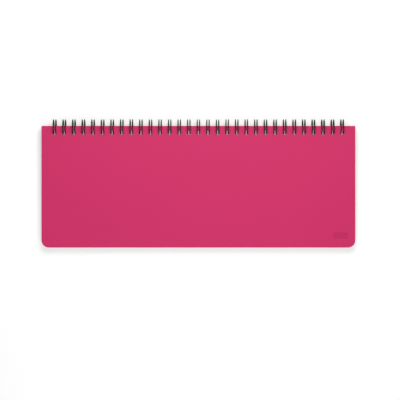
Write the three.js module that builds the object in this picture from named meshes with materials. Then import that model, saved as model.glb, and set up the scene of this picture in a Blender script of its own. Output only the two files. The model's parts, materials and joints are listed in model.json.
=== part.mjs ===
// A closed desk pad calendar: a wide, low pad of weekly leaves between two plastic covers,
// bound along its back edge with a black twin wire.
// Millimetres, +Z up. X runs along the binding and +Y points from the free edge to the binding.
// The origin lies on the desk, under the middle of the pad with its rings.
// The pad is modelled as it comes to rest. Its rings are taller than its stack of sheets, so
// they stand on the desk and the sheets slope down from them to the free edge.
import * as THREE from "three";

// Sheets
const PAD_WIDTH = 277; // along the binding
const SHEET_DEPTH = 107.4; // from the bound edge to the free edge
const CORNER_RADIUS = 6.4; // the two corners at the free edge, a quarter-inch punch
const COVER_THICKNESS = 0.5;
const LEAF_THICKNESS = 0.1;
const LEAF_COUNT = 54; // 53 weeks and a title leaf
const SHEET_GAP = 0.2; // between the leaves and each cover
const TURNED_GAP = 0.15; // between the covers at their bound edges, with the front one turned over

// Twin wire, three loops to the inch
const LOOP_PITCH = 25.4 / 3;
const END_MARGIN = 9; // least distance from a short edge to the middle of the first loop
const WIRE_DIAMETER = 1;
const RING_CLEARANCE = 1.42; // between the ring and the front cover turned over by itself
const RING_INSET = 0.8; // from the bound edge in to the ring's axis
const LEG_SPACING = 2.1; // between the two wires of one loop, centre to centre
const ROOT_BEND_RADIUS = 1.5; // where a loop's wire turns into the next loop's
const SEAM_TURN = 25; // degrees round the ring from the desk to the seam, in under the sheets
const TIP_CLEARANCE = 0.15; // from the line of the roots to the rounded tip of a loop
const END_STUB = 0.8; // straight wire past the bend at each cut end
const HOLE_CLEARANCE = 0.1; // around the two wires of a loop, in a punched hole
const HOLE_CORNER = 0.4; // cut off each corner of a hole, which is nearly square

// Facets
const CORNER_SEGMENTS = 6;
const WIRE_SIDES = 5;
const RING_STEP = 360 / 14; // degrees, the longest straight step round the ring
const ROOT_BEND_STEPS = 2;
const TIP_STEPS = 3;

// Heights are measured from the ring's axis, square to the sheets. The bound edges lie past that
// axis, so a cover turned over must miss the other one there. The stack sits a little below the
// axis, so the leaves and the front cover turned over together stay above the back cover's edge.
// The front cover by itself turns about a line lower down, and ends below that edge.
const LEAVES_THICKNESS = LEAF_COUNT * LEAF_THICKNESS;
const STACK_THICKNESS = 2 * COVER_THICKNESS + 2 * SHEET_GAP + LEAVES_THICKNESS;
const STACK_TOP = (STACK_THICKNESS - COVER_THICKNESS - TURNED_GAP) / 2;
const FRONT_COVER_HEIGHT = STACK_TOP - COVER_THICKNESS;
const LEAVES_HEIGHT = FRONT_COVER_HEIGHT - SHEET_GAP - LEAVES_THICKNESS;
const BACK_COVER_HEIGHT = LEAVES_HEIGHT - SHEET_GAP - COVER_THICKNESS;
const FRONT_HINGE_DROP = COVER_THICKNESS + TURNED_GAP;
const TURNED_REACH = STACK_TOP + 2 * FRONT_HINGE_DROP;

// The ring closes round the stack, and stands on the desk.
const WIRE_RADIUS = WIRE_DIAMETER / 2;
const RING_RADIUS = TURNED_REACH + RING_CLEARANCE + WIRE_RADIUS; // to the wire's centre
const RING_OUTSIDE = RING_RADIUS + WIRE_RADIUS;
const RING_FLAT = RING_RADIUS * Math.cos(THREE.MathUtils.degToRad(RING_STEP / 2));
const RING_Z = RING_OUTSIDE;

// The loops' legs pass through the sheets between the ring's widest point, level with its axis,
// and the turned front cover's outer face. The holes are centred on that range.
const LEG_FAR = RING_RADIUS;
const LEG_NEAR = Math.sqrt((RING_FLAT - WIRE_RADIUS) ** 2 - TURNED_REACH ** 2) + WIRE_RADIUS;
const HOLE_INSET = RING_INSET + (LEG_FAR + LEG_NEAR) / 2;
const HOLE_HALF_DEPTH = (LEG_FAR - LEG_NEAR) / 2 + WIRE_RADIUS + HOLE_CLEARANCE;
const HOLE_HALF_WIDTH = LEG_SPACING / 2 + WIRE_RADIUS + HOLE_CLEARANCE;

// The loops are centred on the pad's width.
const LOOP_COUNT = Math.floor((PAD_WIDTH - 2 * END_MARGIN) / LOOP_PITCH) + 1;
const LOOP_CENTRES = Array.from(
  { length: LOOP_COUNT },
  (_, i) => (i - (LOOP_COUNT - 1) / 2) * LOOP_PITCH,
);

// The back cover's free edge lies on the desk, and all the sheets slope with it.
const FREE_REACH = SHEET_DEPTH - RING_INSET;
const PAD_SLOPE =
  Math.asin(RING_Z / Math.hypot(FREE_REACH, BACK_COVER_HEIGHT)) -
  Math.atan2(-BACK_COVER_HEIGHT, FREE_REACH);

// The front cover's upper free edge is the part's nearest point, and the rings are its farthest.
const NEAR_REACH = FREE_REACH * Math.cos(PAD_SLOPE) + STACK_TOP * Math.sin(PAD_SLOPE);
const RING_Y = (NEAR_REACH - RING_OUTSIDE) / 2;

// The seam is under the back cover, out of the way of every sheet that turns. Angles turn from
// +Y up to +Z.
const DESK_ANGLE = -Math.PI / 2;
const SEAM_ANGLE = DESK_ANGLE - THREE.MathUtils.degToRad(SEAM_TURN);

const COVER_PLASTIC = new THREE.MeshStandardMaterial({
  color: "#d1396c",
  roughness: 0.6,
  metalness: 0,
});
const PAPER = new THREE.MeshStandardMaterial({ color: "#f3f1ea", roughness: 0.9, metalness: 0 });
const COATED_WIRE = new THREE.MeshStandardMaterial({
  color: "#17171a",
  roughness: 0.35,
  metalness: 0.1,
});

// One punched hole, round which its corners are walked clockwise.
function holePath(x, y) {
  const w = HOLE_HALF_WIDTH;
  const d = HOLE_HALF_DEPTH;
  const c = HOLE_CORNER;
  const corners = [
    [w, c - d],
    [w - c, -d],
    [c - w, -d],
    [-w, c - d],
    [-w, d - c],
    [c - w, d],
    [w - c, d],
    [w, d - c],
  ];
  return new THREE.Path(corners.map(([dx, dy]) => new THREE.Vector2(x + dx, y + dy))).closePath();
}

// Every sheet has the same outline, with square corners at the bound edge, rounded ones at the
// free edge and one punched hole for each loop. Its y is measured from the ring's axis.
function sheetShape() {
  const right = PAD_WIDTH / 2;
  const bound = RING_INSET;
  const free = RING_INSET - SHEET_DEPTH;
  const r = CORNER_RADIUS;
  const shape = new THREE.Shape();
  shape.moveTo(right, bound);
  shape.lineTo(-right, bound);
  shape.lineTo(-right, free + r);
  shape.absarc(-right + r, free + r, r, Math.PI, 1.5 * Math.PI);
  shape.lineTo(right - r, free);
  shape.absarc(right - r, free + r, r, 1.5 * Math.PI, 2 * Math.PI);
  shape.closePath();
  for (const x of LOOP_CENTRES) shape.holes.push(holePath(x, RING_INSET - HOLE_INSET));
  return shape;
}

// A flat sheet, or a stack of them, whose underside is at a height from the ring's axis.
function sheet(name, thickness, height, material) {
  const geometry = new THREE.ExtrudeGeometry(sheetShape(), {
    depth: thickness,
    curveSegments: CORNER_SEGMENTS,
    bevelEnabled: false,
  });
  const mesh = new THREE.Mesh(geometry, material);
  mesh.name = name;
  mesh.position.z = height;
  return mesh;
}

// The wire's route is drawn flat and then rolled round the ring. Flat, x runs along the binding
// and run is the length round the ring from the seam, along the desk, over the top and down
// through the sheets.
function arc(x, run, radius, from, to, steps) {
  return Array.from({ length: steps + 1 }, (_, i) => {
    const angle = from + ((to - from) * i) / steps;
    return { x: x + radius * Math.cos(angle), run: run + radius * Math.sin(angle) };
  });
}

function leg(x, from, to) {
  const turn = THREE.MathUtils.radToDeg((to - from) / RING_RADIUS);
  const steps = Math.ceil(turn / RING_STEP - 0.001);
  return Array.from({ length: steps }, (_, i) => ({ x, run: from + ((to - from) * (i + 1)) / steps }));
}

// One hairpin loop: from the root up one leg, round the tip and back down the other leg. Each
// leg has a corner where the ring stands on the desk.
function loopRoute(centre) {
  const half = LEG_SPACING / 2;
  const tipRun = 2 * Math.PI * RING_RADIUS - TIP_CLEARANCE - half;
  const deskRun = (DESK_ANGLE - SEAM_ANGLE) * RING_RADIUS;
  const root = centre - half - ROOT_BEND_RADIUS;
  const up = [
    ...arc(root, ROOT_BEND_RADIUS, ROOT_BEND_RADIUS, -Math.PI / 2, 0, ROOT_BEND_STEPS),
    ...leg(centre - half, ROOT_BEND_RADIUS, deskRun),
    ...leg(centre - half, deskRun, tipRun),
  ];
  const tip = arc(centre, tipRun, half, Math.PI, 0, TIP_STEPS).slice(1, -1);
  const down = up.map((point) => ({ x: 2 * centre - point.x, run: point.run })).reverse();
  return [...up, ...tip, ...down];
}

// The whole binding is one wire, from its cut end before the first loop to the one past the last.
function wireRoute() {
  const loops = LOOP_CENTRES.flatMap(loopRoute);
  const first = loops[0];
  const last = loops[loops.length - 1];
  return [{ x: first.x - END_STUB, run: 0 }, ...loops, { x: last.x + END_STUB, run: 0 }];
}

// The route rolled round the ring, as a path for the wire's section. The section keeps one
// corner away from the ring's axis all along.
class RingCurve extends THREE.Curve {
  constructor(route) {
    super();
    this.angles = route.map((point) => SEAM_ANGLE + point.run / RING_RADIUS);
    this.points = route.map((point, i) => {
      const outwards = this.outwards(i).multiplyScalar(RING_RADIUS);
      return outwards.setX(point.x);
    });
  }

  outwards(i) {
    return new THREE.Vector3(0, Math.cos(this.angles[i]), Math.sin(this.angles[i]));
  }

  getSpacedPoints() {
    return this.points;
  }

  computeFrenetFrames() {
    const last = this.points.length - 1;
    const tangents = this.points.map((_, i) => {
      const before = this.points[Math.max(i - 1, 0)];
      const after = this.points[Math.min(i + 1, last)];
      return after.clone().sub(before).normalize();
    });
    const binormals = tangents.map((t, i) => t.clone().cross(this.outwards(i)).normalize());
    const normals = tangents.map((t, i) => binormals[i].clone().cross(t));
    return { tangents, normals, binormals };
  }
}

function wireSection() {
  const corners = Array.from({ length: WIRE_SIDES }, (_, i) => {
    const angle = (2 * Math.PI * i) / WIRE_SIDES;
    return new THREE.Vector2(WIRE_RADIUS * Math.cos(angle), WIRE_RADIUS * Math.sin(angle));
  });
  return new THREE.Shape(corners);
}

function wireBinding() {
  const curve = new RingCurve(wireRoute());
  const geometry = new THREE.ExtrudeGeometry(wireSection(), {
    steps: curve.points.length - 1,
    extrudePath: curve,
  });
  const mesh = new THREE.Mesh(geometry, COATED_WIRE);
  mesh.name = "wire_binding";
  mesh.position.set(0, RING_Y, RING_Z);
  return mesh;
}

// The sheets slope down together from the ring's axis.
function sheetStack() {
  const group = new THREE.Group();
  group.position.set(0, RING_Y, RING_Z);
  group.rotation.x = PAD_SLOPE;
  group.add(
    sheet("front_cover", COVER_THICKNESS, FRONT_COVER_HEIGHT, COVER_PLASTIC),
    sheet("page_block", LEAVES_THICKNESS, LEAVES_HEIGHT, PAPER),
    sheet("back_cover", COVER_THICKNESS, BACK_COVER_HEIGHT, COVER_PLASTIC),
  );
  return group;
}

const calendar = new THREE.Group();
calendar.add(sheetStack(), wireBinding());

export default calendar;
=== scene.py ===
# %% [markdown]
# # A desk pad calendar with a twin-wire binding
# The pad is a stack of weekly leaves between two thin plastic covers. Its black wire is bent into
# hairpin loops, three to the inch, and every sheet hangs on the loops by its own row of holes.
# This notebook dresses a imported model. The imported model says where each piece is, and here each
# piece gets its fine shape and its finish.

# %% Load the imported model
import json
import math
import random

import bpy
from mathutils import Matrix, Vector


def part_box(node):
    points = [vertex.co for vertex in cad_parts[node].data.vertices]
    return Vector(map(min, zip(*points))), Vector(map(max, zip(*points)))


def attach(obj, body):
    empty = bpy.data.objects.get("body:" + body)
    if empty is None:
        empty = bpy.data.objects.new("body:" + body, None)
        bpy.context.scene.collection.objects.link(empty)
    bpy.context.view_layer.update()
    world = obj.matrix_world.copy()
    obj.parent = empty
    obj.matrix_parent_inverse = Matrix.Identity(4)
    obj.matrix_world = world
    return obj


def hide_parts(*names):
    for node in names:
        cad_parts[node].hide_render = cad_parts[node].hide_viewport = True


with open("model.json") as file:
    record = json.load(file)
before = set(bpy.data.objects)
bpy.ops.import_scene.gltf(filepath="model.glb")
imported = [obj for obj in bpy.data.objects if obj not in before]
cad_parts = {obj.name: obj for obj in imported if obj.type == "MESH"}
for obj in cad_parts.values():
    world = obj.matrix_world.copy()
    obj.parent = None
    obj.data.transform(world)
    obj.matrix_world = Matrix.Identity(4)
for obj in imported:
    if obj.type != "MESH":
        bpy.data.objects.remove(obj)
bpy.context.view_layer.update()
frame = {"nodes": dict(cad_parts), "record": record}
print("packed nodes:", ", ".join(sorted(frame["nodes"])))

# %% [markdown]
# ## Sizes
# The sheets are a standard punched size, and the ring is chosen to close round the stack. The
# heights below are measured from the ring's axis, square to the sheets, so that each sheet can be
# modelled flat and tipped into place at the end, as the real sheets are cut flat and then bound.

# %% Sizes of the sheets and the ring
MM = 0.001
PAD_WIDTH = 277 * MM
SHEET_DEPTH = 107.4 * MM
CORNER_RADIUS = 6.4 * MM
COVER_THICKNESS = 0.5 * MM
LEAF_THICKNESS = 0.1 * MM
LEAF_COUNT = 54
SHEET_GAP = 0.2 * MM
STACK_TOP = 3.075 * MM  # the front cover's outer face

LOOP_COUNT = 31
LOOP_PITCH = 25.4 / 3 * MM
WIRE_RADIUS = 0.5 * MM
RING_RADIUS = 6.295 * MM
RING_INSET = 0.8 * MM
LEG_HALF = 1.05 * MM
HOLE_INSET = 5.975 * MM
HOLE_WIDTH = 3.3 * MM
HOLE_DEPTH = 3.44 * MM
HOLE_CORNER = 0.4 * MM

FRONT_UNDERSIDE = STACK_TOP - COVER_THICKNESS
LEAVES_TOP = FRONT_UNDERSIDE - SHEET_GAP
LEAVES_UNDERSIDE = LEAVES_TOP - LEAF_COUNT * LEAF_THICKNESS
BACK_UNDERSIDE = LEAVES_UNDERSIDE - SHEET_GAP - COVER_THICKNESS
FIRST_LOOP = -(LOOP_COUNT - 1) / 2 * LOOP_PITCH

# %% [markdown]
# ## Where the sheets lie
# The ring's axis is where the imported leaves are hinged. A flat sheet of known depth and thickness
# that is tipped by an angle has a box of a known height, so the slope is read back from the packed
# front cover's box: it is the angle at which the box comes out as high as it is.

# %% Place and slope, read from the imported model
hinges = {joint["name"]: joint for joint in frame["record"]["behaviour"]["joints"]}
RING_AXIS = Vector(hinges["leaves_hinge"]["pos_m"])


def slope_of(node, thickness):
    low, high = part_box(node)
    height = high[2] - low[2]
    return math.asin(height / math.hypot(SHEET_DEPTH, thickness)) - math.atan2(thickness, SHEET_DEPTH)


PAD_SLOPE = slope_of("front_cover", COVER_THICKNESS)
print("ring axis", tuple(round(v, 5) for v in RING_AXIS))
print("slope in degrees", round(math.degrees(PAD_SLOPE), 3))

# %% [markdown]
# ## The camera
# The pad is seen from straight above its cover and from two metres away, so the loops at the two
# ends hardly lean outwards. The camera stands on the cover's own normal. The long lens for that
# distance is worked out from how wide the view is at the cover.

# %% Camera
VIEW_PIXELS = 400
COVER_PIXELS = 313.8  # how wide the cover shows in that view
COVER_CENTRE_PIXEL = (198.4, 186.72)
CAMERA_DISTANCE = 2000 * MM
SENSOR = 36  # millimetres

pixel = PAD_WIDTH / COVER_PIXELS
view_width = VIEW_PIXELS * pixel
cover_plane = Matrix.Translation(RING_AXIS) @ Matrix.Rotation(PAD_SLOPE, 4, "X")
cover_middle = Vector((0, RING_INSET - SHEET_DEPTH / 2, STACK_TOP))
right = (VIEW_PIXELS / 2 - COVER_CENTRE_PIXEL[0]) * pixel
down = (VIEW_PIXELS / 2 - COVER_CENTRE_PIXEL[1]) * pixel
camera_place = cover_middle + Vector((right, -down, CAMERA_DISTANCE))

camera_data = bpy.data.cameras.new("camera")
camera_data.sensor_width = SENSOR
camera_data.lens = SENSOR * CAMERA_DISTANCE / view_width
camera = bpy.data.objects.new("camera", camera_data)
camera.matrix_world = cover_plane @ Matrix.Translation(camera_place)
bpy.context.scene.collection.objects.link(camera)
bpy.context.scene.camera = camera
print("lens", round(camera_data.lens, 2), "mm, a pixel is", round(pixel / MM, 4), "mm at the cover")

# %% [markdown]
# ## Working by hand, in code
# An operator acts on whatever is selected, so each step starts by selecting just one thing. These
# helpers do what the mouse would do: pick one object, pick some of its edges, and apply a modifier.

# %% Helpers for selecting and applying


def only(piece):
    bpy.ops.object.select_all(action="DESELECT")
    piece.select_set(True)
    bpy.context.view_layer.objects.active = piece
    return piece


def apply_modifier(piece, kind, **settings):
    only(piece)
    modifier = piece.modifiers.new(kind.lower(), kind)
    for key, value in settings.items():
        setattr(modifier, key, value)
    bpy.ops.object.modifier_apply(modifier=modifier.name)


def select_edges(piece, wanted):
    """Leaves just the edges whose two ends satisfy wanted selected, in edit mode."""
    only(piece)
    bpy.ops.object.mode_set(mode="EDIT")
    bpy.ops.mesh.select_mode(type="EDGE")
    bpy.ops.mesh.select_all(action="DESELECT")
    bpy.ops.object.mode_set(mode="OBJECT")
    points = piece.data.vertices
    for edge in piece.data.edges:
        edge.select = wanted(*(points[i].co for i in edge.vertices))
    bpy.ops.object.mode_set(mode="EDIT")


def settle(piece, slope):
    """Tips a piece that was modelled flat about the ring's axis, and puts its place in its mesh."""
    only(piece)
    piece.matrix_world = Matrix.Translation(RING_AXIS) @ Matrix.Rotation(slope, 4, "X") @ piece.matrix_world
    bpy.ops.object.transform_apply(location=True, rotation=True, scale=True)


def triangles(piece):
    piece.data.calc_loop_triangles()
    return len(piece.data.loop_triangles)


# %% [markdown]
# ## Colour and material helpers
# Colours are picked as sRGB hex values and turned to the linear values that a shader mixes. One
# function adds a node, with its settings and whatever is plugged into it.

# %% Helpers for materials


def colour(hex_code):
    parts = [int(hex_code[i : i + 2], 16) / 255 for i in (1, 3, 5)]
    linear = [p / 12.92 if p <= 0.04045 else ((p + 0.055) / 1.055) ** 2.4 for p in parts]
    return (*linear, 1)


def add_node(tree, kind, links=None, values=None, **settings):
    node = tree.nodes.new(kind)
    for key, value in settings.items():
        setattr(node, key, value)
    for socket, value in (values or {}).items():
        node.inputs[socket].default_value = value
    for socket, source in (links or {}).items():
        tree.links.new(source, node.inputs[socket])
    return node


def new_material(name):
    material = bpy.data.materials.new(name)
    material.use_nodes = True
    return material, material.node_tree, material.node_tree.nodes["Principled BSDF"]


# %% [markdown]
# ## Cover sheet: matt polypropylene
# Pad covers of this kind are extruded polypropylene, coloured right through. The sheet leaves a
# roller with a fine sand grain, which makes it matt: light spreads, so the colour looks even from
# every side, with just a soft sheen towards the light. The real grain is about 0.3 mm, which is
# finer than a pixel of the main view, so a second, broader mottle carries it at a distance.

# %% Polypropylene material
GRAIN = 0.3 * MM
MOTTLE = 3 * MM
BLUSH = 60 * MM  # slow drift of tone along an extruded sheet


def polypropylene(name, base, deep):
    material, tree, shader = new_material(name)
    place = add_node(tree, "ShaderNodeTexCoord").outputs["Object"]
    drift = add_node(tree, "ShaderNodeTexNoise", {"Vector": place}, {"Scale": 1 / BLUSH, "Detail": 2})
    mottle = add_node(tree, "ShaderNodeTexNoise", {"Vector": place}, {"Scale": 1 / MOTTLE, "Detail": 4})
    tone = add_node(
        tree,
        "ShaderNodeMath",
        {0: drift.outputs["Fac"], 1: mottle.outputs["Fac"]},
        operation="MULTIPLY",
    )
    tint = add_node(tree, "ShaderNodeMix", {"Factor": tone.outputs[0]}, data_type="RGBA")
    tint.inputs["A"].default_value = colour(deep)
    tint.inputs["B"].default_value = colour(base)
    grain = add_node(tree, "ShaderNodeTexNoise", {"Vector": place}, {"Scale": 1 / GRAIN, "Detail": 3})
    fine = add_node(
        tree,
        "ShaderNodeBump",
        {"Height": grain.outputs["Fac"]},
        {"Strength": 0.35, "Distance": 0.03 * MM},
    )
    broad = add_node(
        tree,
        "ShaderNodeBump",
        {"Height": mottle.outputs["Fac"], "Normal": fine.outputs["Normal"]},
        {"Strength": 0.15, "Distance": 0.03 * MM},
    )
    gloss = add_node(
        tree,
        "ShaderNodeMapRange",
        {"Value": mottle.outputs["Fac"]},
        {"To Min": 0.5, "To Max": 0.62},
    )
    tree.links.new(tint.outputs["Result"], shader.inputs["Base Color"])
    tree.links.new(gloss.outputs["Result"], shader.inputs["Roughness"])
    tree.links.new(broad.outputs["Normal"], shader.inputs["Normal"])
    shader.inputs["IOR"].default_value = 1.49
    shader.inputs["Specular IOR Level"].default_value = 0.25
    return material


COVER_PLASTIC = polypropylene("matt_polypropylene_magenta", base="#CE2C66", deep="#C92862")
# The stamp's darker pink is painted shade for the pressed-in squares, not a colour of the plastic.
STAMP_PAINTED_SHADE = polypropylene("polypropylene_stamp_painted_shade", base="#B32158", deep="#AE1F55")
print("cover materials:", COVER_PLASTIC.name, STAMP_PAINTED_SHADE.name)

# %% [markdown]
# ## Punching the sheets
# A press punches all the holes of a sheet at once. Here the punch is one nearly square pin with
# rounded corners, and a Boolean modifier drives it through the sheet. The same punch serves every
# sheet. Holes, loops and stamped squares all stand in even rows, which an Array modifier repeats.

# %% The punch
PUNCH_LENGTH = 30 * MM
BLANK_CORNER_STEPS = 12


def repeat(piece, count, step, **settings):
    apply_modifier(
        piece,
        "ARRAY",
        count=count,
        use_relative_offset=False,
        use_constant_offset=True,
        constant_offset_displace=step,
        **settings,
    )


def make_punch(corner_steps):
    bpy.ops.object.select_all(action="DESELECT")
    bpy.ops.mesh.primitive_cube_add(
        size=1,
        location=(FIRST_LOOP, RING_INSET - HOLE_INSET, 0),
        scale=(HOLE_WIDTH, HOLE_DEPTH, PUNCH_LENGTH),
    )
    punch = bpy.context.object
    bpy.ops.object.transform_apply(location=True, rotation=True, scale=True)

    def upright(a, b):
        return abs(a.z - b.z) > PUNCH_LENGTH / 2

    select_edges(punch, upright)
    bpy.ops.mesh.bevel(offset=HOLE_CORNER, segments=corner_steps, affect="EDGES")
    bpy.ops.object.mode_set(mode="OBJECT")
    repeat(punch, LOOP_COUNT, (LOOP_PITCH, 0, 0))
    return punch


def blank_sheet(name, thickness, underside):
    """A sheet before punching: a plate whose two corners at the free edge are rounded."""
    bpy.ops.object.select_all(action="DESELECT")
    middle = (0, RING_INSET - SHEET_DEPTH / 2, underside + thickness / 2)
    bpy.ops.mesh.primitive_cube_add(size=1, location=middle, scale=(PAD_WIDTH, SHEET_DEPTH, thickness))
    blank = bpy.context.object
    blank.name = name
    bpy.ops.object.transform_apply(location=True, rotation=True, scale=True)
    free = RING_INSET - SHEET_DEPTH
    upright = thickness / 2

    def free_corner(a, b):
        return abs(a.z - b.z) > upright and abs(a.y - free) < upright

    select_edges(blank, free_corner)
    bpy.ops.mesh.bevel(offset=CORNER_RADIUS, segments=BLANK_CORNER_STEPS, affect="EDGES")
    bpy.ops.object.mode_set(mode="OBJECT")
    return blank


def cut(piece, cutter):
    apply_modifier(piece, "BOOLEAN", operation="DIFFERENCE", object=cutter, solver="EXACT")


# %% [markdown]
# ## The two covers
# Both covers are the same sheet, cut from one die. The knife leaves a clean edge that catches a
# thin line of light, so a Bevel modifier takes the sharpness off every edge, and off the rims of
# the holes. The front cover has a small stamp near its free corner: three rows of seven little
# squares, the days of three weeks, pressed in without ink. The pressed squares are too shallow to
# shade themselves, so their floors and walls are painted a darker pink, as painted shade.

# %% Covers
PUNCH_CORNER_STEPS = 5
EDGE_SOFTNESS = 0.08 * MM
STAMP_DEPTH = 0.05 * MM
STAMP_SQUARE = 1.25 * MM
STAMP_PITCH = 1.85 * MM
STAMP_MIDDLE = (125.6 * MM, -96.75 * MM)  # from the middle of the bound edge
STAMP_COLUMNS, STAMP_ROWS = 7, 3


def make_stamp(surface):
    """The raised squares of the press, standing so that they sink into the cover's surface."""
    x = STAMP_MIDDLE[0] - (STAMP_COLUMNS - 1) / 2 * STAMP_PITCH
    y = RING_INSET + STAMP_MIDDLE[1] - (STAMP_ROWS - 1) / 2 * STAMP_PITCH
    bpy.ops.object.select_all(action="DESELECT")
    bpy.ops.mesh.primitive_cube_add(
        size=1, location=(x, y, surface), scale=(STAMP_SQUARE, STAMP_SQUARE, 2 * STAMP_DEPTH)
    )
    stamp = bpy.context.object
    bpy.ops.object.transform_apply(location=True, rotation=True, scale=True)
    repeat(stamp, STAMP_COLUMNS, (STAMP_PITCH, 0, 0))
    repeat(stamp, STAMP_ROWS, (0, STAMP_PITCH, 0))
    # The cut faces of the squares take this darker pink: painted shade in the pressed squares.
    stamp.data.materials.append(STAMP_PAINTED_SHADE)
    return stamp


def make_cover(name, node, body, underside, stamped):
    cover = blank_sheet(name, COVER_THICKNESS, underside)
    cover.data.materials.append(COVER_PLASTIC)
    punch = make_punch(PUNCH_CORNER_STEPS)
    punch.data.materials.append(COVER_PLASTIC)
    cut(cover, punch)
    apply_modifier(
        cover,
        "BEVEL",
        width=EDGE_SOFTNESS,
        segments=2,
        limit_method="ANGLE",
        angle_limit=math.radians(50),
    )
    bpy.data.objects.remove(punch)
    if stamped:
        # The darker pink for the stamp's cut faces is painted shade.
        cover.data.materials.append(STAMP_PAINTED_SHADE)
        stamp = make_stamp(underside + COVER_THICKNESS)
        cut(cover, stamp)
        bpy.data.objects.remove(stamp)
    only(cover)
    bpy.ops.object.shade_smooth_by_angle(angle=math.radians(40))
    apply_modifier(cover, "WEIGHTED_NORMAL", keep_sharp=True)
    settle(cover, PAD_SLOPE)
    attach(cover, body)
    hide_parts(node)
    print(name, triangles(cover), "triangles")
    return cover


make_cover("front_cover_sheet", "front_cover", "front", FRONT_UNDERSIDE, stamped=True)
make_cover("back_cover_sheet", "back_cover", "back", BACK_UNDERSIDE, stamped=False)

# %% [markdown]
# ## Paper
# The leaves are uncoated writing paper: fully matt, slightly warm, with a cloudiness where the
# fibres lie closer. The fibres themselves are too fine to see, so the cloudiness is what shows.

# %% Paper material
CLOUD = 4 * MM
FIBRE = 0.4 * MM


def writing_paper():
    material, tree, shader = new_material("uncoated_writing_paper")
    place = add_node(tree, "ShaderNodeTexCoord").outputs["Object"]
    cloud = add_node(tree, "ShaderNodeTexNoise", {"Vector": place}, {"Scale": 1 / CLOUD, "Detail": 5})
    tint = add_node(tree, "ShaderNodeMix", {"Factor": cloud.outputs["Fac"]}, data_type="RGBA")
    tint.inputs["A"].default_value = colour("#F1EEE6")
    tint.inputs["B"].default_value = colour("#F8F6F1")
    fibre = add_node(tree, "ShaderNodeTexNoise", {"Vector": place}, {"Scale": 1 / FIBRE, "Detail": 4})
    bump = add_node(
        tree,
        "ShaderNodeBump",
        {"Height": fibre.outputs["Fac"]},
        {"Strength": 0.25, "Distance": 0.02 * MM},
    )
    tree.links.new(tint.outputs["Result"], shader.inputs["Base Color"])
    tree.links.new(bump.outputs["Normal"], shader.inputs["Normal"])
    shader.inputs["Roughness"].default_value = 0.9
    shader.inputs["IOR"].default_value = 1.45
    return material


PAPER = writing_paper()

# %% [markdown]
# ## The leaves
# A block with lines painted on its sides would do from afar. Here one leaf is cut, punched and
# copied once for each week, and every copy is nudged by a hair, because sheets that hang loosely
# on a wire never line up quite. The cut edges then show real, slightly uneven layers.

# %% Leaves
LEAF_PUNCH_CORNER_STEPS = 2
LEAF_SLACK = 0.08 * MM  # how far a leaf may sit off its place
LEAF_FILM = 0.012 * MM  # air between two leaves


def make_leaves():
    leaf = blank_sheet("leaf", LEAF_THICKNESS - LEAF_FILM, LEAVES_UNDERSIDE)
    leaf.data.materials.append(PAPER)
    punch = make_punch(LEAF_PUNCH_CORNER_STEPS)
    punch.data.materials.append(PAPER)
    cut(leaf, punch)
    bpy.data.objects.remove(punch)
    chance = random.Random(7)
    copies = []
    for i in range(LEAF_COUNT):
        copy = leaf.copy()
        copy.data = leaf.data.copy()
        nudge = Vector((chance.uniform(-1, 1), chance.uniform(-1, 1), 0)) * LEAF_SLACK
        lift = Vector((0, 0, i * LEAF_THICKNESS))
        copy.data.transform(Matrix.Translation(nudge + lift))
        bpy.context.scene.collection.objects.link(copy)
        copies.append(copy)
    bpy.data.objects.remove(leaf)
    block = only(copies[0])
    for copy in copies:
        copy.select_set(True)
    bpy.ops.object.join()
    block.name = "leaves"
    settle(block, PAD_SLOPE)
    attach(block, "leaves")
    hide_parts("page_block")
    print("leaves", LEAF_COUNT, "with", triangles(block), "triangles")
    return block


make_leaves()

# %% [markdown]
# ## The first week's page
# With the cover turned over, the first leaf shows: a tinted band for the days' names, left empty
# here, seven columns, and ruled lines to write on. Ink has no thickness to speak of, so each
# printed shape is a flat strip, two hundredths of a millimetre thick, on the paper.

# %% Printed page
INK_THICKNESS = 0.02 * MM
RULE_WIDTH = 0.25 * MM
COLUMN_RULE_WIDTH = 0.4 * MM
PRINT_HALF_WIDTH = 130 * MM
PRINT_TOP = -13 * MM  # from the bound edge
PRINT_BOTTOM = -101 * MM
BAND_DEPTH = 8 * MM
RULE_PITCH = 8 * MM
DAYS = 7


def ink(name, hex_code):
    material, tree, shader = new_material(name)
    place = add_node(tree, "ShaderNodeTexCoord").outputs["Object"]
    speckle = add_node(tree, "ShaderNodeTexNoise", {"Vector": place}, {"Scale": 1 / FIBRE, "Detail": 2})
    tint = add_node(tree, "ShaderNodeMix", {"Factor": speckle.outputs["Fac"]}, data_type="RGBA")
    tint.inputs["A"].default_value = colour(hex_code)
    tint.inputs["B"].default_value = [0.85 * v + 0.15 for v in colour(hex_code)]
    tree.links.new(tint.outputs["Result"], shader.inputs["Base Color"])
    shader.inputs["Roughness"].default_value = 0.8
    return material


def strip(x0, x1, y0, y1, material):
    """A printed strip on the first leaf. Its y is measured from the bound edge."""
    middle = ((x0 + x1) / 2, RING_INSET + (y0 + y1) / 2, LEAVES_TOP + INK_THICKNESS / 2)
    bpy.ops.object.select_all(action="DESELECT")
    bpy.ops.mesh.primitive_cube_add(size=1, location=middle, scale=(x1 - x0, y1 - y0, INK_THICKNESS))
    bpy.ops.object.transform_apply(location=True, rotation=True, scale=True)
    bpy.context.object.data.materials.append(material)
    return bpy.context.object


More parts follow.
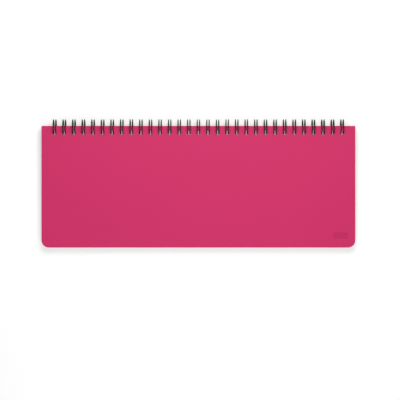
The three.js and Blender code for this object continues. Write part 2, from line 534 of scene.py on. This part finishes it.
def make_print():
    grey = ink("offset_ink_grey", "#8E8E92")
    pink = ink("offset_ink_pink", "#E58AAC")
    band_bottom = PRINT_TOP - BAND_DEPTH
    strips = [strip(-PRINT_HALF_WIDTH, PRINT_HALF_WIDTH, band_bottom, PRINT_TOP, pink)]
    for day in range(DAYS + 1):
        x = -PRINT_HALF_WIDTH + day * 2 * PRINT_HALF_WIDTH / DAYS
        half = COLUMN_RULE_WIDTH / 2
        strips.append(strip(x - half, x + half, PRINT_BOTTOM, band_bottom, grey))
    y = band_bottom - RULE_PITCH
    while y > PRINT_BOTTOM:
        for day in range(DAYS):
            left = -PRINT_HALF_WIDTH + day * 2 * PRINT_HALF_WIDTH / DAYS + COLUMN_RULE_WIDTH
            width = 2 * PRINT_HALF_WIDTH / DAYS - 2 * COLUMN_RULE_WIDTH
            strips.append(strip(left, left + width, y - RULE_WIDTH, y, grey))
        y -= RULE_PITCH
    page = only(strips[0])
    for piece in strips:
        piece.select_set(True)
    bpy.ops.object.join()
    page.name = "first_page_print"
    settle(page, PAD_SLOPE)
    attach(page, "leaves")
    print("printed strips:", len(strips))


make_print()

# %% [markdown]
# ## Coated wire
# The binding is drawn steel wire with a black nylon coat. The coat is smooth and dark, so what is
# seen of it is mostly the light that it mirrors: one soft streak along each bend.

# %% Coated wire material


def coated_wire():
    material, tree, shader = new_material("nylon_coated_wire_black")
    place = add_node(tree, "ShaderNodeTexCoord").outputs["Object"]
    flow = add_node(tree, "ShaderNodeTexNoise", {"Vector": place}, {"Scale": 1 / MM, "Detail": 2})
    gloss = add_node(
        tree,
        "ShaderNodeMapRange",
        {"Value": flow.outputs["Fac"]},
        {"To Min": 0.2, "To Max": 0.3},
    )
    bump = add_node(
        tree,
        "ShaderNodeBump",
        {"Height": flow.outputs["Fac"]},
        {"Strength": 0.1, "Distance": 0.02 * MM},
    )
    shader.inputs["Base Color"].default_value = colour("#08080A")
    shader.inputs["IOR"].default_value = 1.53
    shader.inputs["Specular IOR Level"].default_value = 0.4
    tree.links.new(gloss.outputs["Result"], shader.inputs["Roughness"])
    tree.links.new(bump.outputs["Normal"], shader.inputs["Normal"])
    return material


WIRE_COAT = coated_wire()

# %% [markdown]
# ## The twin wire
# The binder's wire comes as a comb: one wire runs along as a row of hairpins joined by wide roots.
# Closing it curls each hairpin round until its tip meets the roots, in a seam that is hidden
# under the back cover. The route is therefore drawn flat first, as x along the comb and a run
# round the ring, and then rolled up. One loop's route becomes a round-bevelled curve, the curve a
# mesh, and an Array modifier repeats it and welds loop to loop.

# %% Wire route
ROOT_BEND_RADIUS = 1.5 * MM
SEAM_TURN = math.radians(25)  # from the desk in under the sheets
TIP_CLEARANCE = 0.15 * MM
END_STUB = 0.8 * MM
LEG_STEPS = 44
BEND_STEPS = 6
TIP_STEPS = 8
WELD_DISTANCE = 0.01 * MM

SEAM_ANGLE = -math.pi / 2 - SEAM_TURN


def arc(x, run, radius, start, end, steps):
    angles = [start + (end - start) * i / steps for i in range(steps + 1)]
    return [(x + radius * math.cos(a), run + radius * math.sin(a)) for a in angles]


def loop_route():
    """One hairpin centred on x = 0, from the middle of one root to the middle of the next."""
    tip_run = 2 * math.pi * RING_RADIUS - TIP_CLEARANCE - LEG_HALF
    up = [(-LOOP_PITCH / 2, 0)]
    up += arc(-LEG_HALF - ROOT_BEND_RADIUS, ROOT_BEND_RADIUS, ROOT_BEND_RADIUS, -math.pi / 2, 0, BEND_STEPS)
    leg = [ROOT_BEND_RADIUS + (tip_run - ROOT_BEND_RADIUS) * i / LEG_STEPS for i in range(1, LEG_STEPS)]
    up += [(-LEG_HALF, run) for run in leg]
    tip = arc(0, tip_run, LEG_HALF, math.pi, 0, TIP_STEPS)
    down = [(-x, run) for x, run in reversed(up)]
    return up + tip + down


def rolled(x, run):
    angle = SEAM_ANGLE + run / RING_RADIUS
    return Vector((x, RING_RADIUS * math.cos(angle), RING_RADIUS * math.sin(angle)))


# %% The wire's mesh


def make_wire():
    data = bpy.data.curves.new("wire_loop", "CURVE")
    data.dimensions = "3D"
    data.bevel_depth = WIRE_RADIUS
    data.bevel_resolution = 4
    route = [rolled(x, run) for x, run in loop_route()]
    spline = data.splines.new("POLY")
    spline.points.add(len(route) - 1)
    for point, place in zip(spline.points, route):
        point.co = (*place, 1)
    wire = bpy.data.objects.new("twin_wire", data)
    bpy.context.scene.collection.objects.link(wire)
    only(wire)
    bpy.ops.object.convert(target="MESH")
    wire = bpy.context.object
    wire.data.transform(Matrix.Translation((FIRST_LOOP, 0, 0)))
    repeat(
        wire,
        LOOP_COUNT,
        (LOOP_PITCH, 0, 0),
        use_merge_vertices=True,
        merge_threshold=WELD_DISTANCE,
    )
    # The first and the last root are cut off short, and closed with a flat end.
    end = LEG_HALF + ROOT_BEND_RADIUS + END_STUB - FIRST_LOOP
    for side in (-1, 1):
        only(wire)
        bpy.ops.object.mode_set(mode="EDIT")
        bpy.ops.mesh.select_all(action="SELECT")
        bpy.ops.mesh.bisect(
            plane_co=(side * end, 0, 0),
            plane_no=(side, 0, 0),
            use_fill=True,
            clear_outer=True,
        )
        bpy.ops.object.mode_set(mode="OBJECT")
    only(wire)
    bpy.ops.object.mode_set(mode="EDIT")
    bpy.ops.mesh.select_all(action="SELECT")
    bpy.ops.mesh.normals_make_consistent(inside=False)
    bpy.ops.object.mode_set(mode="OBJECT")
    bpy.ops.object.shade_smooth_by_angle(angle=math.radians(60))
    wire.data.materials.clear()
    wire.data.materials.append(WIRE_COAT)
    settle(wire, 0)
    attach(wire, "back")
    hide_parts("wire_binding")
    print("wire:", len(route), "points a loop,", triangles(wire), "triangles")


make_wire()

# %% [markdown]
# ## Floor
# The pad lies on a white sweep that is lit to plain white, and only a thin soft shadow round its
# edges shows. The camera sees a steady white, with a large share of the real, lit floor mixed in,
# and that share carries the shadow.

# %% Floor
FLOOR_SIZE = 6
SHADOW_SHARE = 0.8
FLOOR_WHITE = 1.6


def white_floor():
    material, tree, shader = new_material("white_sweep")
    shader.inputs["Base Color"].default_value = colour("#F8F8F8")
    shader.inputs["Roughness"].default_value = 0.9
    shader.inputs["Specular IOR Level"].default_value = 0
    seen = add_node(tree, "ShaderNodeLightPath").outputs["Is Camera Ray"]
    share = add_node(tree, "ShaderNodeMath", {0: seen}, {1: 1 - SHADOW_SHARE}, operation="MULTIPLY")
    white = add_node(tree, "ShaderNodeEmission", values={"Strength": FLOOR_WHITE})
    both = add_node(
        tree,
        "ShaderNodeMixShader",
        {0: share.outputs[0], 1: shader.outputs["BSDF"], 2: white.outputs["Emission"]},
    )
    tree.links.new(both.outputs["Shader"], tree.nodes["Material Output"].inputs["Surface"])
    return material


bpy.ops.object.select_all(action="DESELECT")
bpy.ops.mesh.primitive_plane_add(size=FLOOR_SIZE)
floor = bpy.context.object
floor.name = "floor"
floor.data.materials.append(white_floor())

# %% [markdown]
# ## Light
# A soft panel stands behind the loops and throws the pad's shadow towards the viewer. A weaker one
# leans in from the near side and draws the streak on each loop, and the room fills in from all
# round. Both panels stand a little to the right, so the cover's left end is a shade darker.

# %% Light


def panel(name, place, size, power):
    data = bpy.data.lights.new(name, "AREA")
    data.shape = "RECTANGLE"
    data.size, data.size_y = size
    data.energy = power
    lamp = bpy.data.objects.new(name, data)
    lamp.location = place
    lamp.rotation_euler = (-Vector(place)).to_track_quat("-Z", "Y").to_euler()
    bpy.context.scene.collection.objects.link(lamp)


panel("back", (0.03, 0.3, 0.42), (0.4, 0.3), 1.7)
panel("near", (0.03, -0.38, 0.45), (0.4, 0.25), 0.95)

world = bpy.data.worlds.new("room")
world.use_nodes = True
world.node_tree.nodes["Background"].inputs["Color"].default_value = (1, 1, 1, 1)
world.node_tree.nodes["Background"].inputs["Strength"].default_value = 0.42
bpy.context.scene.world = world
bpy.context.scene.view_settings.view_transform = "Standard"
